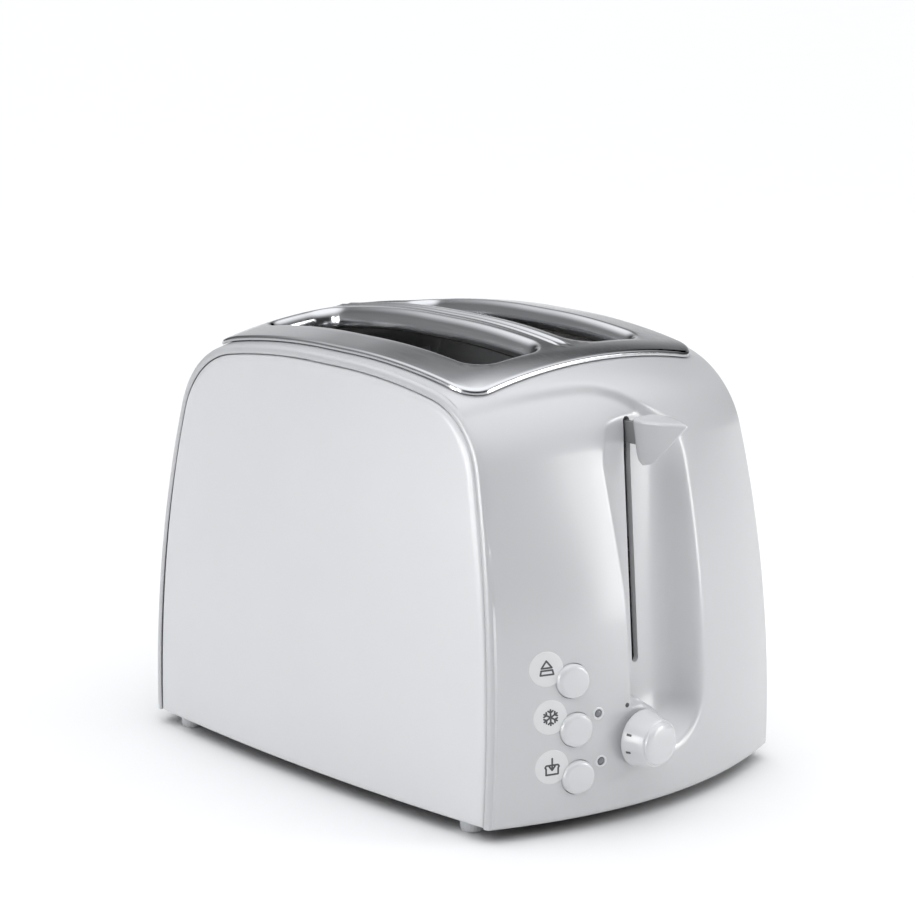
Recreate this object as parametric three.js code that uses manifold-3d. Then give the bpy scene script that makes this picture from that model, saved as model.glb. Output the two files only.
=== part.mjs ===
// Two-slice pop-up toaster as an assembly of separate solids, in millimetres.
// +Z is up, -Y is the front with the lever, +X is the right-hand side seen from the front.
import * as THREE from 'three';
import { mergeVertices } from 'three/addons/utils/BufferGeometryUtils.js';
import Module from 'manifold-3d';

const wasm = await Module();
wasm.setup();

// ---- Driving dimensions ----
const CLEAR = 0.3; // gap between neighbouring pieces

// Housing outline in the YZ plane: three tangent arcs on each side of the middle
const BASE_Z = 6.3; // lower edge of the housing above the table
const BASE_LENGTH = 221.7;
const BASE_WIDTH = 168;
const CROWN_HEIGHT = 177.9; // from the lower edge to the top of the edge outline
const END_RADIUS = 525;
const CORNER_RADIUS = 42;
const CROWN_RADIUS = 335;
const LEAN = 0.048; // outward lean of the end walls, per mm of height
const TAPER = [0.051, 0.069]; // share of the width lost at the top: linear, then squared
const END_BULGE = 18.8; // how far the end walls bow out at the middle of their width
const CROWN_BULGE = 6.6;
const PANEL_CROWN = 5.6; // how far the side panels bow out at the base
const WALL = 3.4;
const PANEL_THICKNESS = 2.6;

// Lever channel in the front wall, as seen from the front
const CHANNEL_HALF_WIDTH = 20;
const CHANNEL_LOW_Z = 49; // centre of the round lower end
const CHANNEL_HIGH_Z = 143; // centre of the oval upper end
const CHANNEL_TOP_RISE = 28;
const CHANNEL_POWER = 2.4; // 2 is an oval section, higher is squarer
const FLOOR_Y = -112.3; // channel floor at the height FLOOR_Z
const FLOOR_Z = 61;
const FLOOR_SLOPE = 0.0716;
const SKIN = 2.6; // wall behind the channel
const SLOT_X = -2;
const SLOT_WIDTH = 3.8;
const SLOT_Z = [61, 164.6];

// Controls
const KNOB = { x: -17.5, z: 36, y: -131.1, baseRadius: 12, faceRadius: 9.3, depth: 13 };
const KNOB_SEAT_RADIUS = 15;
const BUTTONS = [
  { name: 'cancel', x: -48.7, z: 64.9 },
  { name: 'frozen', x: -47.8, z: 44.4 },
  { name: 'reheat', x: -47, z: 24.2 },
];
const BUTTON_RADIUS = 7.1;
const BUTTON_PROUD = 2.3;
const BUTTON_TRAVEL = 1.6;
const INDICATORS = [
  { name: 'frozen', x: -37.3, z: 49.5 },
  { name: 'reheat', x: -36.1, z: 29.1 },
];
const INDICATOR_RADIUS = 1.5;

// Top plate and bread slots
const PLATE = { halfWidth: 68, front: -82, rear: 86, corner: 12, thickness: 2.2 };
const PLATE_LAP = 4.5; // how far the plate rests on the housing all round
const SLOT_CENTRE_X = 29;
const SLOT_HALF = 18;
const SLOT_Y = [-64, 73];
const SLOT_CORNER = 9;
const COLLAR = { wall: 1.3, depth: 7 }; // turned-down edge of each bread slot

// Inside
const FRONT_CHASSIS_Y = -78.5;
const REAR_CHASSIS_Y = 84;
const SHEET = 1;
const CHASSIS_TOP = 160;
const TRAVEL = 88; // carriage and lever travel
const RACK_Z = 114; // underside of the bread racks at rest
const CARRIAGE_Y = -92;
const ROD = { x: 14, y: -97, radius: 2.5 };
const CHAMBER_Y = [FRONT_CHASSIS_Y + SHEET / 2 + CLEAR, REAR_CHASSIS_Y - SHEET / 2 - CLEAR];
const GUIDE = { offset: 15.5, low: 24, high: 150, wire: 1.6, wires: 8, inset: 10 };
const ELEMENT_X = [7, 50.5];
const REFLECTOR = { x: 58.5, thickness: 0.8, lip: 4, low: 20.2, high: 152 };
const LEVER_Z = [154, 163];
const LEVER_TIP_Y = -122;
const MAGNET = { x: 31, y: -96.5, low: 9.7, high: 33 };
const SPRING = { low: 14.6, high: RACK_Z - 4.4, radius: 4.4, wire: 0.5, coils: 11 };
const TRAY = { halfWidth: 60, low: 10.2, high: 17.4, front: -72, rear: 112, wall: 0.8 };
const TRAY_MOUTH = [[-62.5, 62.5], [100, 150], [9.7, 18.6]];
const GLAND = { x: 52, z: 30, radius: 5, bore: 3.3 };
const BOARD_Y = -106.6;
const BOSS = { x: 66, y: 110.5, radius: 4.3, top: 30 };
const FEET = { x: 75.5, front: -92, rear: 95, radius: 5.4 };

// The overall middle of the length, knob and lever included, goes over the origin
const MIDDLE_Y = 6.95;

// ---- Materials ----
const finish = (color, roughness, metalness = 0) =>
  new THREE.MeshStandardMaterial({ color, roughness, metalness });
const LOOKS = {
  white: () => finish(0xf1f1f2, 0.18),
  panel: () => finish(0xeeeff0, 0.22),
  chrome: () => finish(0xc9cbce, 0.12, 1),
  steel: () => finish(0xa9adb1, 0.35, 1),
  darkSteel: () => finish(0x75787c, 0.45, 1),
  mica: () => finish(0xb8a88a, 0.6),
  base: () => finish(0x2a2b2d, 0.55),
  rubber: () => finish(0xd9dadc, 0.6),
  board: () => finish(0x2f6b3c, 0.5),
  black: () => finish(0x1b1c1e, 0.45),
  copper: () => finish(0xa85b2c, 0.4, 1),
  lens: () => finish(0x8b8f94, 0.25),
};

// ---- Solids ----
function solid(geometry) {
  const bare = geometry.index ? geometry.toNonIndexed() : geometry.clone();
  bare.deleteAttribute('normal');
  bare.deleteAttribute('uv');
  const merged = mergeVertices(bare, 1e-4);
  return new wasm.Manifold(
    new wasm.Mesh({
      numProp: 3,
      vertProperties: new Float32Array(merged.attributes.position.array),
      triVerts: new Uint32Array(merged.index.array),
    }),
  );
}

function geometryOf(body) {
  const mesh = body.getMesh();
  const geometry = new THREE.BufferGeometry();
  geometry.setAttribute('position', new THREE.BufferAttribute(mesh.vertProperties.slice(), 3));
  geometry.setIndex(new THREE.BufferAttribute(mesh.triVerts.slice(), 1));
  geometry.computeVertexNormals();
  return geometry;
}

function box([x0, x1], [y0, y1], [z0, z1]) {
  const geometry = new THREE.BoxGeometry(x1 - x0, y1 - y0, z1 - z0);
  return solid(geometry.translate((x0 + x1) / 2, (y0 + y1) / 2, (z0 + z1) / 2));
}

function rodZ(x, y, radius, z0, z1, sides = 20) {
  const geometry = new THREE.CylinderGeometry(radius, radius, z1 - z0, sides);
  return solid(geometry.rotateX(Math.PI / 2).translate(x, y, (z0 + z1) / 2));
}

function rodY(x, z, radius, y0, y1, sides = 20) {
  const geometry = new THREE.CylinderGeometry(radius, radius, y1 - y0, sides);
  return solid(geometry.translate(x, (y0 + y1) / 2, z));
}

function join(first, ...rest) {
  return rest.reduce((sum, piece) => sum.add(piece), first);
}

function cut(first, ...rest) {
  return rest.reduce((left, piece) => left.subtract(piece), first);
}

function roundedOutline([x0, x1], [y0, y1], radius) {
  const shape = new THREE.Shape();
  shape.moveTo(x0 + radius, y0);
  shape.lineTo(x1 - radius, y0);
  shape.absarc(x1 - radius, y0 + radius, radius, -Math.PI / 2, 0);
  shape.lineTo(x1, y1 - radius);
  shape.absarc(x1 - radius, y1 - radius, radius, 0, Math.PI / 2);
  shape.lineTo(x0 + radius, y1);
  shape.absarc(x0 + radius, y1 - radius, radius, Math.PI / 2, Math.PI);
  shape.lineTo(x0, y0 + radius);
  shape.absarc(x0 + radius, y0 + radius, radius, Math.PI, 1.5 * Math.PI);
  return shape;
}

function prismZ(shape, z0, z1, curveSegments = 5) {
  const geometry = new THREE.ExtrudeGeometry(shape, {
    depth: z1 - z0,
    bevelEnabled: false,
    curveSegments,
  });
  return solid(geometry.translate(0, 0, z0));
}

// A closed body through rows of equally many points, with a flat or nearly flat cap at each end.
// flatten gives the two coordinates in which a cap is cut into triangles.
function loft(rows, flatten) {
  const count = rows[0].length;
  const triangles = [];
  for (let r = 0; r + 1 < rows.length; r += 1) {
    for (let i = 0; i < count; i += 1) {
      const j = (i + 1) % count;
      triangles.push(rows[r][i], rows[r][j], rows[r + 1][j]);
      triangles.push(rows[r][i], rows[r + 1][j], rows[r + 1][i]);
    }
  }
  for (const row of [rows[0], rows[rows.length - 1]]) {
    const flat = row.map((p) => new THREE.Vector2(...flatten(p)));
    const flip = row === rows[0];
    for (const [a, b, c] of capTriangles(flat, flip)) {
      triangles.push(row[a], row[b], row[c]);
    }
  }
  const geometry = new THREE.BufferGeometry();
  geometry.setAttribute('position', new THREE.Float32BufferAttribute(triangles.flat(), 3));
  const body = solid(geometry);
  return body.volume() < 0 ? solid(turned(geometry)) : body;
}

function capTriangles(flat, flip) {
  const faces = THREE.ShapeUtils.triangulateShape(flat, []);
  const along = !THREE.ShapeUtils.isClockWise(flat);
  return faces.map(([a, b, c]) => {
    const f = [a, b, c];
    const clockwise = THREE.ShapeUtils.isClockWise(f.map((i) => flat[i]));
    const matchesRow = clockwise !== along;
    return matchesRow === flip ? [a, c, b] : [a, b, c];
  });
}

function turned(geometry) {
  const copy = geometry.clone();
  const p = copy.attributes.position;
  for (let i = 0; i < p.count; i += 3) {
    const b = [p.getX(i + 1), p.getY(i + 1), p.getZ(i + 1)];
    p.setXYZ(i + 1, p.getX(i + 2), p.getY(i + 2), p.getZ(i + 2));
    p.setXYZ(i + 2, ...b);
  }
  return copy;
}

// ---- The housing's surface ----
function halfWidth(z) {
  const up = Math.min(Math.max((z - BASE_Z) / CROWN_HEIGHT, 0), 1.1);
  return (BASE_WIDTH / 2) * (1 - TAPER[0] * up - TAPER[1] * up * up);
}

// The corner arc touches the end arc and the crown arc from inside
function cornerCentre() {
  const end = new THREE.Vector2(BASE_LENGTH / 2 - END_RADIUS, BASE_Z);
  const crown = new THREE.Vector2(0, BASE_Z + CROWN_HEIGHT - CROWN_RADIUS);
  const fromEnd = END_RADIUS - CORNER_RADIUS;
  const fromCrown = CROWN_RADIUS - CORNER_RADIUS;
  const apart = crown.clone().sub(end);
  const span = apart.length();
  const along = (fromEnd ** 2 - fromCrown ** 2 + span ** 2) / (2 * span);
  const aside = Math.sqrt(fromEnd ** 2 - along ** 2);
  const unit = apart.divideScalar(span);
  const centre = new THREE.Vector2(
    end.x + along * unit.x - aside * unit.y,
    end.y + along * unit.y + aside * unit.x,
  );
  return { end, crown, centre };
}

// Points from the foot of the front wall, over the crown, to the foot of the rear wall
function edgeOutline(steps = [5, 5, 3]) {
  const { end, crown, centre } = cornerCentre();
  const lowTurn = Math.atan2(centre.y - end.y, centre.x - end.x);
  const highTurn = Math.atan2(centre.y - crown.y, centre.x - crown.x);
  const arcs = [
    [end, END_RADIUS, 0, lowTurn],
    [centre, CORNER_RADIUS, lowTurn, highTurn],
    [crown, CROWN_RADIUS, highTurn, Math.PI / 2],
  ];
  const half = [];
  arcs.forEach(([middle, radius, from, to], k) => {
    for (let i = k ? 1 : 0; i <= steps[k]; i += 1) {
      const turn = from + ((to - from) * i) / steps[k];
      const z = middle.y + radius * Math.sin(turn);
      const y = middle.x + radius * Math.cos(turn) + LEAN * (z - BASE_Z);
      half.push({ y, z, ny: Math.cos(turn), nz: Math.sin(turn) });
    }
  });
  half[half.length - 1].y = 0;
  const front = half.slice(0, -1).map((p) => ({ ...p, y: -p.y, ny: -p.ny }));
  return [...front, ...half.reverse()];
}

function surfacePoint(edge, s, offset) {
  const bow = (END_BULGE * edge.ny ** 2 + CROWN_BULGE * edge.nz ** 2) * (1 - s * s) + offset;
  return [s * halfWidth(edge.z), edge.y + edge.ny * bow, edge.z + edge.nz * bow];
}

// The whole body under the housing's surface, moved out by offset; margin widens it at the sides
// and dip takes it below the lower edge, for use as a cutting tool
function loaf(offset, { margin = 0, dip = 0, across = 10 } = {}) {
  const edges = edgeOutline();
  const stations = [];
  for (let i = 0; i <= across; i += 1) {
    stations.push([(2 * i) / across - 1, 0]);
  }
  if (margin) {
    stations.unshift([-1, -margin]);
    stations.push([1, margin]);
  }
  const rows = stations.map(([s, extra]) => {
    const row = edges.map((edge) => surfacePoint(edge, s, offset));
    if (dip) {
      row.unshift([row[0][0], row[0][1], row[0][2] - dip]);
      const last = row[row.length - 1];
      row.push([last[0], last[1], last[2] - dip]);
    }
    return row.map(([x, y, z]) => [x + extra, y, z]);
  });
  return loft(rows, ([, y, z]) => [y, z]);
}

// Height of the front wall's outer surface as a Y value at a place seen from the front
function frontSurfaceY(x, z) {
  const edges = edgeOutline([12, 16, 8]);
  const rows = edges.slice(0, 36).map((edge) => {
    const s = Math.min(Math.abs(x) / halfWidth(edge.z), 1);
    return surfacePoint(edge, s, 0);
  });
  for (let i = 0; i + 1 < rows.length; i += 1) {
    const [, y0, z0] = rows[i];
    const [, y1, z1] = rows[i + 1];
    if (z >= z0 && z <= z1) {
      return y0 + ((y1 - y0) * (z - z0)) / (z1 - z0);
    }
  }
  return rows[0][1];
}

// ---- Lever channel ----
// A point of the channel's plan at ring 0 (middle) to 1 (rim), grown outward by extra
function channelPlan(ring, turn, extra) {
  const wide = CHANNEL_HALF_WIDTH + extra;
  const upper = Math.sin(turn) > 0;
  const rise = upper ? CHANNEL_TOP_RISE + extra : wide;
  const centreZ = upper ? CHANNEL_HIGH_Z : CHANNEL_LOW_Z;
  const middleZ = (CHANNEL_HIGH_Z + CHANNEL_LOW_Z) / 2;
  const rimZ = centreZ + rise * Math.sin(turn);
  return [ring * wide * Math.cos(turn), middleZ + ring * (rimZ - middleZ)];
}

// Depth share, 1 over the floor and 0 at the rim
function channelShare(x, z, extra) {
  const wide = CHANNEL_HALF_WIDTH + extra;
  let reach = Math.abs(x) / wide;
  if (z > CHANNEL_HIGH_Z) {
    reach = Math.hypot(x / wide, (z - CHANNEL_HIGH_Z) / (CHANNEL_TOP_RISE + extra));
  } else if (z < CHANNEL_LOW_Z) {
    reach = Math.hypot(x, z - CHANNEL_LOW_Z) / wide;
  }
  return Math.max(1 - reach ** CHANNEL_POWER, 0) ** (1 / CHANNEL_POWER);
}

function channelBody(extra) {
  const rings = [0.25, 0.5, 0.72, 0.87, 0.96, 1];
  const turns = 28;
  const farY = -150;
  const floorPoint = (ring, k) => {
    const [x, z] = channelPlan(ring, (2 * Math.PI * (k + 0.5)) / turns, extra);
    const rimY = frontSurfaceY(x, z) - (ring === 1 ? 0.4 : 0);
    const floorY = FLOOR_Y + FLOOR_SLOPE * (z - FLOOR_Z) + extra;
    return [x, rimY + (floorY - rimY) * channelShare(x, z, extra), z];
  };
  const rows = rings.map((ring) => Array.from({ length: turns }, (_, k) => floorPoint(ring, k)));
  rows.push(rows[rows.length - 1].map(([x, , z]) => [x, farY, z]));
  return loft(rows, ([x, , z]) => [x, z]);
}

// ---- Casing ----
function housingShell() {
  const outer = loaf(0);
  const band = outer.subtract(loaf(-WALL, { margin: 6, dip: 6 }));
  const seat = rodY(KNOB.x, KNOB.z, KNOB_SEAT_RADIUS, -160, -90, 32);
  const hollow = channelBody(0).subtract(seat);
  const bosses = [-1, 1].flatMap((side) =>
    [-1, 1].map((end) => rodZ(side * BOSS.x, end * BOSS.y, BOSS.radius, 9.8, BOSS.top, 12)),
  );
  const pilots = [-1, 1].flatMap((side) =>
    [-1, 1].map((end) => rodZ(side * BOSS.x, end * BOSS.y, 1.9, 5, 24, 10)),
  );
  let shell = join(band, channelBody(SKIN).intersect(outer));
  shell = join(shell, ...bosses.map((boss) => boss.intersect(outer)));
  shell = cut(shell, hollow, ...pilots);
  shell = cut(shell, ...frontHoles(), ...rearHoles());
  const lap = PLATE_LAP;
  const mouth = roundedOutline(
    [-PLATE.halfWidth + lap, PLATE.halfWidth - lap],
    [PLATE.front + lap, PLATE.rear - lap],
    PLATE.corner - lap,
  );
  return shell.subtract(prismZ(mouth, 140, 220));
}

function frontHoles() {
  const slot = box(
    [SLOT_X - SLOT_WIDTH / 2, SLOT_X + SLOT_WIDTH / 2],
    [-130, -95],
    SLOT_Z,
  );
  const knobRecess = rodY(KNOB.x, KNOB.z, 12.2, -126, -90, 24);
  const knobHole = rodY(KNOB.x, KNOB.z, 4, -140, -90);
  const buttonHoles = BUTTONS.map(({ x, z }) => rodY(x, z, BUTTON_RADIUS + CLEAR, -150, -100, 24));
  const lampHoles = INDICATORS.map(({ x, z }) =>
    rodY(x, z, INDICATOR_RADIUS + CLEAR, -150, -100, 12),
  );
  return [slot, knobRecess, knobHole, ...buttonHoles, ...lampHoles];
}

function rearHoles() {
  return [box(...TRAY_MOUTH), rodY(GLAND.x, GLAND.z, GLAND.radius + CLEAR, 100, 150, 16)];
}

// A domed side panel inside the housing's rim, built from the middle out to its edge
function sidePanel(side) {
  const inset = WALL + 0.5;
  const edges = edgeOutline([5, 5, 4]);
  const rim = edges.map(({ y, z, ny, nz }) => [y - ny * inset, z - nz * inset]);
  const footY = rim[rim.length - 1][0];
  const footSteps = 8;
  for (let i = 1; i < footSteps; i += 1) {
    rim.push([footY * (1 - (2 * i) / footSteps), BASE_Z]);
  }
  const middle = [0, 80];
  const topZ = BASE_Z + CROWN_HEIGHT;
  const skin = ([y, z], thickness) => {
    const along = Math.min(Math.abs(y) / (BASE_LENGTH / 2), 1);
    const up = (z - BASE_Z) / (topZ - BASE_Z);
    const dome = PANEL_CROWN * (1 - along ** 2) * (1 - up ** 4);
    return [side * (halfWidth(z) - 0.3 + dome - thickness), y, z];
  };
  const ringOf = (share, thickness) =>
    rim.map(([y, z]) =>
      skin([middle[0] + share * (y - middle[0]), middle[1] + share * (z - middle[1])], thickness),
    );
  const shares = [0.3, 0.6, 0.85, 1];
  const rows = shares.map((share) => ringOf(share, 0));
  rows.push(...[...shares].reverse().map((share) => ringOf(share, PANEL_THICKNESS)));
  return loft(rows, ([, y, z]) => [y, z]);
}

// The base fills the space between the end walls and the domed side panels
function baseOutline() {
  const halfLong = BASE_LENGTH / 2 - WALL - 0.6;
  const halfWide = BASE_WIDTH / 2 - PANEL_THICKNESS - 0.9;
  const steps = 10;
  const sideArc = [];
  const endArc = [];
  for (let i = 0; i < steps; i += 1) {
    const s = (2 * i) / steps - 1;
    sideArc.push([halfWide + PANEL_CROWN * (1 - s * s), s * halfLong]);
    endArc.push([-s * halfWide, halfLong + END_BULGE * (1 - s * s)]);
  }
  const half = [...sideArc, ...endArc];
  const points = [...half, ...half.map(([x, y]) => [-x, -y])];
  return new THREE.Shape(points.map(([x, y]) => new THREE.Vector2(x, y)));
}

function basePlate() {
  const floor = prismZ(baseOutline(), BASE_Z + 0.2, 9.3);
  const ventRows = [-36, -12, 12, 36];
  const vents = ventRows.map((x) => box([x - 8, x + 8], [-60, 60], [0, 20]));
  const screwHoles = [-1, 1].flatMap((side) =>
    [-1, 1].map((end) => rodZ(side * BOSS.x, end * BOSS.y, 1.9, 0, 20, 10)),
  );
  const footHoles = footPlaces().map(([x, y]) => rodZ(x, y, 2.8, 0, 20, 12));
  const socket = rodZ(ROD.x, ROD.y, 5.2, 9, 14, 16).subtract(
    rodZ(ROD.x, ROD.y, ROD.radius + CLEAR, 9.3, 16, 16),
  );
  return join(cut(floor, ...vents, ...screwHoles, ...footHoles), socket);
}

function footPlaces() {
  return [
    [-FEET.x, FEET.front],
    [FEET.x, FEET.front],
    [-FEET.x, FEET.rear],
    [FEET.x, FEET.rear],
  ];
}

function foot() {
  const r = FEET.radius;
  const profile = [
    [0, 0],
    [r - 1.4, 0],
    [r - 0.6, 0.8],
    [r, BASE_Z - CLEAR],
    [2.5, BASE_Z - CLEAR],
    [2.5, 9.2],
    [0, 9.2],
  ].map(([x, y]) => new THREE.Vector2(x, y));
  return new THREE.LatheGeometry(profile, 20).rotateX(Math.PI / 2);
}

function topPlate() {
  const outline = roundedOutline(
    [-PLATE.halfWidth, PLATE.halfWidth],
    [PLATE.front, PLATE.rear],
    PLATE.corner,
  );
  const above = loaf(CLEAR + PLATE.thickness, { dip: 4 });
  const sheet = above.subtract(loaf(CLEAR, { margin: 6, dip: 8 }));
  const plate = sheet.intersect(prismZ(outline, 120, 220, 8));
  const slots = [-1, 1].map((side) => slotPrism(side, 0, 120, 230));
  const beyondCollars = loaf(-COLLAR.depth, { margin: 6, dip: 8 });
  const collars = [-1, 1].map((side) =>
    slotPrism(side, COLLAR.wall, 140, 210).intersect(above).subtract(beyondCollars),
  );
  return cut(join(plate, ...collars), ...slots);
}

function slotPrism(side, grow, z0, z1) {
  const middle = side * SLOT_CENTRE_X;
  const outline = roundedOutline(
    [middle - SLOT_HALF - grow, middle + SLOT_HALF + grow],
    [SLOT_Y[0] - grow, SLOT_Y[1] + grow],
    SLOT_CORNER + grow,
  );
  return prismZ(outline, z0, z1);
}

// ---- Toasting chamber ----
function chassisPlate(y, racksPass) {
  const sheet = box([-66, 66], [y - SHEET / 2, y + SHEET / 2], [9.6, CHASSIS_TOP]);
  const trayWay = box([-62, 62], [y - 5, y + 5], [0, 19.5]);
  const shoulders = [-1, 1].map((side) =>
    box([side > 0 ? 60 : -70, side > 0 ? 70 : -60], [y - 5, y + 5], [150, 170]),
  );
  const rackWays = [-1, 1].map((side) =>
    box(
      [side * SLOT_CENTRE_X - 2.4, side * SLOT_CENTRE_X + 2.4],
      [y - 5, y + 5],
      [RACK_Z - TRAVEL - 2, RACK_Z + 8],
    ),
  );
  const plate = cut(sheet, trayWay, ...shoulders, ...(racksPass ? rackWays : []));
  const out = racksPass ? -1 : 1;
  const feet = [-1, 1].map((side) =>
    box(
      [side > 0 ? 62 : -66, side > 0 ? 66 : -62],
      out > 0 ? [y, y + 9] : [y - 9, y],
      [9.6, 10.6],
    ),
  );
  return join(plate, ...feet);
}

function frontChassis() {
  const rodBracket = box(
    [ROD.x - 6, ROD.x + 6],
    [ROD.y - 4.5, FRONT_CHASSIS_Y],
    [CHASSIS_TOP - 2, CHASSIS_TOP],
  );
  const rodHole = rodZ(ROD.x, ROD.y, ROD.radius + CLEAR, 150, 170, 16);
  return join(chassisPlate(FRONT_CHASSIS_Y, true), rodBracket).subtract(rodHole);
}

// Upright sheet with a lip turned outward along its top and bottom edges
function reflector(side) {
  const { thickness, lip, low, high } = REFLECTOR;
  const x = side * REFLECTOR.x;
  const lipX = side > 0 ? [x, x + lip] : [x - lip, x];
  const sheet = box([x - thickness / 2, x + thickness / 2], CHAMBER_Y, [low, high]);
  const upper = box(lipX, CHAMBER_Y, [high - thickness, high]);
  const lower = box(lipX, CHAMBER_Y, [low, low + thickness]);
  return join(sheet, upper, lower);
}

// Mica card with its heating ribbon wound round it in flat turns
function elementCard(x) {
  const card = box([x - 0.4, x + 0.4], [CHAMBER_Y[0] + 2, CHAMBER_Y[1] - 2], [26, 148]);
  const turns = Array.from({ length: 9 }, (_, i) => {
    const z = 36 + i * 13;
    return box([x - 0.9, x + 0.9], [CHAMBER_Y[0] + 6, CHAMBER_Y[1] - 6], [z, z + 1.4]);
  });
  return join(card, ...turns);
}

// Wire grid that leans in against the bread
function breadGuide(x) {
  const w = GUIDE.wire / 2;
  const [y0, y1] = [CHAMBER_Y[0] + 0.2, CHAMBER_Y[1] - 0.2];
  const rails = [GUIDE.low, GUIDE.high].map((z) =>
    box([x - w, x + w], z === GUIDE.low ? [y0, y1] : [y0 + 8, y1 - 8], [z - w, z + w]),
  );
  const pitch = (y1 - y0 - 2 * GUIDE.inset) / (GUIDE.wires - 1);
  const wires = Array.from({ length: GUIDE.wires }, (_, i) => {
    const y = y0 + GUIDE.inset + i * pitch;
    return box([x - w, x + w], [y - w, y + w], [GUIDE.low, GUIDE.high]);
  });
  return join(...rails, ...wires);
}

function breadRack(side) {
  const x = side * SLOT_CENTRE_X;
  const spine = box([x - 1, x + 1], [CARRIAGE_Y + 0.9, 76], [RACK_Z, RACK_Z + 6]);
  const fingers = Array.from({ length: 6 }, (_, i) => {
    const y = -62 + i * 26;
    return box([x - 6, x + 6], [y - 1, y + 1], [RACK_Z + 3.6, RACK_Z + 6]);
  });
  const flange = box([x - 6, x + 6], [CARRIAGE_Y + 0.9, CARRIAGE_Y + 2], [RACK_Z - 4, RACK_Z + 6]);
  return join(spine, flange, ...fingers);
}

// ---- Lift and latch ----
function carriage() {
  const y = [CARRIAGE_Y - 0.6, CARRIAGE_Y + 0.6];
  const plate = box([-37, 37], y, [RACK_Z - 4, RACK_Z + 10]);
  const post = box([-12, 21], y, [RACK_Z - 4, RACK_Z + 34]);
  const bush = rodZ(ROD.x, ROD.y, 4.8, RACK_Z - 4, RACK_Z + 28);
  const web = box([ROD.x - 3, ROD.x + 3], [ROD.y, CARRIAGE_Y], [RACK_Z - 4, RACK_Z + 28]);
  const shelf = box([24, 37], [-99, CARRIAGE_Y], [RACK_Z + 8.8, RACK_Z + 10]);
  const bore = rodZ(ROD.x, ROD.y, ROD.radius + CLEAR, 0, 200, 16);
  const window = box([-28, -20], [-95, -88], [RACK_Z + 1, RACK_Z + 5]);
  return cut(join(plate, post, bush, web, shelf), bore, window);
}

function leverArm() {
  const x = [SLOT_X - 1.3, SLOT_X + 1.3];
  const upright = box(x, [CARRIAGE_Y - 6, CARRIAGE_Y - 0.9], [RACK_Z, LEVER_Z[1]]);
  const stem = box(x, [LEVER_TIP_Y, CARRIAGE_Y - 0.9], LEVER_Z);
  return join(upright, stem);
}

// Beak-shaped lever end: a leaf seen from above that narrows to a keel below
function leverKnob() {
  const leaf = (scale, keel, z) => {
    const outline = [
      [0, -113.4],
      [-5.6, -114.6],
      [-8, -119.5],
      [-7, -125.5],
      [-4, -132.5],
      [-1.2, -138],
      [0, -139.6],
    ];
    const mirrored = outline.slice(1, -1).reverse().map(([x, y]) => [-x, y]);
    return [...outline, ...mirrored].map(([x, y]) => [
      SLOT_X + x * scale,
      -113.4 + (y + 113.4) * keel,
      z,
    ]);
  };
  const rows = [
    leaf(0.24, 0.2, 146),
    leaf(0.42, 0.36, 149.5),
    leaf(0.62, 0.6, 155),
    leaf(0.84, 0.85, 161),
    leaf(1, 1, 165.4),
    leaf(0.9, 0.94, 166.2),
  ];
  const pocket = box(
    [SLOT_X - 1.3 - CLEAR, SLOT_X + 1.3 + CLEAR],
    [LEVER_TIP_Y - CLEAR, -110],
    [LEVER_Z[0] - CLEAR, LEVER_Z[1] + CLEAR],
  );
  return loft(rows, ([x, y]) => [x, y]).subtract(pocket);
}

function armature() {
  const low = MAGNET.high + TRAVEL + 0.4;
  return box([25, 37], [-99, -93.2], [low, RACK_Z + 8.8 - CLEAR]);
}

function magnetCore() {
  const { x, y, low, high } = MAGNET;
  const back = box([x - 8.5, x + 8.5], [y - 3, y + 2.6], [low, low + 3]);
  const legs = [-1, 1].map((side) =>
    box([x + side * 7 - 1.5, x + side * 7 + 1.5], [y - 3, y + 2.6], [low, high]),
  );
  const pole = box([x - 2, x + 2], [y - 2.4, y + 2], [low, high]);
  return join(back, pole, ...legs);
}

function magnetCoil() {
  const { x, y, low, high } = MAGNET;
  const z = [low + 3 + CLEAR, high - 2];
  const winding = box([x - 5, x + 5], [y - 5.4, y + 3.4], z);
  return winding.subtract(box([x - 2.3, x + 2.3], [y - 2.7, y + 2.3], [0, 60]));
}

function returnSpring() {
  const { low, high, radius, wire, coils } = SPRING;
  class Helix extends THREE.Curve {
    getPoint(t, target = new THREE.Vector3()) {
      const turn = 2 * Math.PI * coils * t;
      const z = low + wire + t * (high - low - 2 * wire);
      return target.set(ROD.x + radius * Math.cos(turn), ROD.y + radius * Math.sin(turn), z);
    }
  }
  const section = new THREE.Shape();
  section.absarc(0, 0, wire, 0, 2 * Math.PI);
  return new THREE.ExtrudeGeometry(section, {
    steps: coils * 10,
    curveSegments: 3,
    extrudePath: new Helix(),
  });
}

// ---- Controls ----
function browningKnob() {
  const { baseRadius, faceRadius, depth } = KNOB;
  const profile = [
    [3.4, 0],
    [baseRadius - 0.4, 0],
    [baseRadius, 0.6],
    [faceRadius + 0.5, depth - 2.6],
    [faceRadius - 0.6, depth - 1.1],
    [faceRadius - 1.6, depth - 1.2],
    [faceRadius - 2.6, depth - 0.2],
    [0, depth],
    [0, depth - 4],
    [3.4, depth - 4],
    [3.4, 0],
  ].map(([x, y]) => new THREE.Vector2(x, y));
  const turnedPart = new THREE.LatheGeometry(profile, 28);
  return turnedPart.rotateZ(Math.PI).translate(KNOB.x, KNOB.y, KNOB.z);
}

function potentiometer() {
  const can = rodY(KNOB.x, KNOB.z, 8, -116, BOARD_Y - 0.8 - CLEAR, 20);
  const shaft = rodY(KNOB.x, KNOB.z, 3, -139, -115, 16);
  return join(can, shaft);
}

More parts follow.
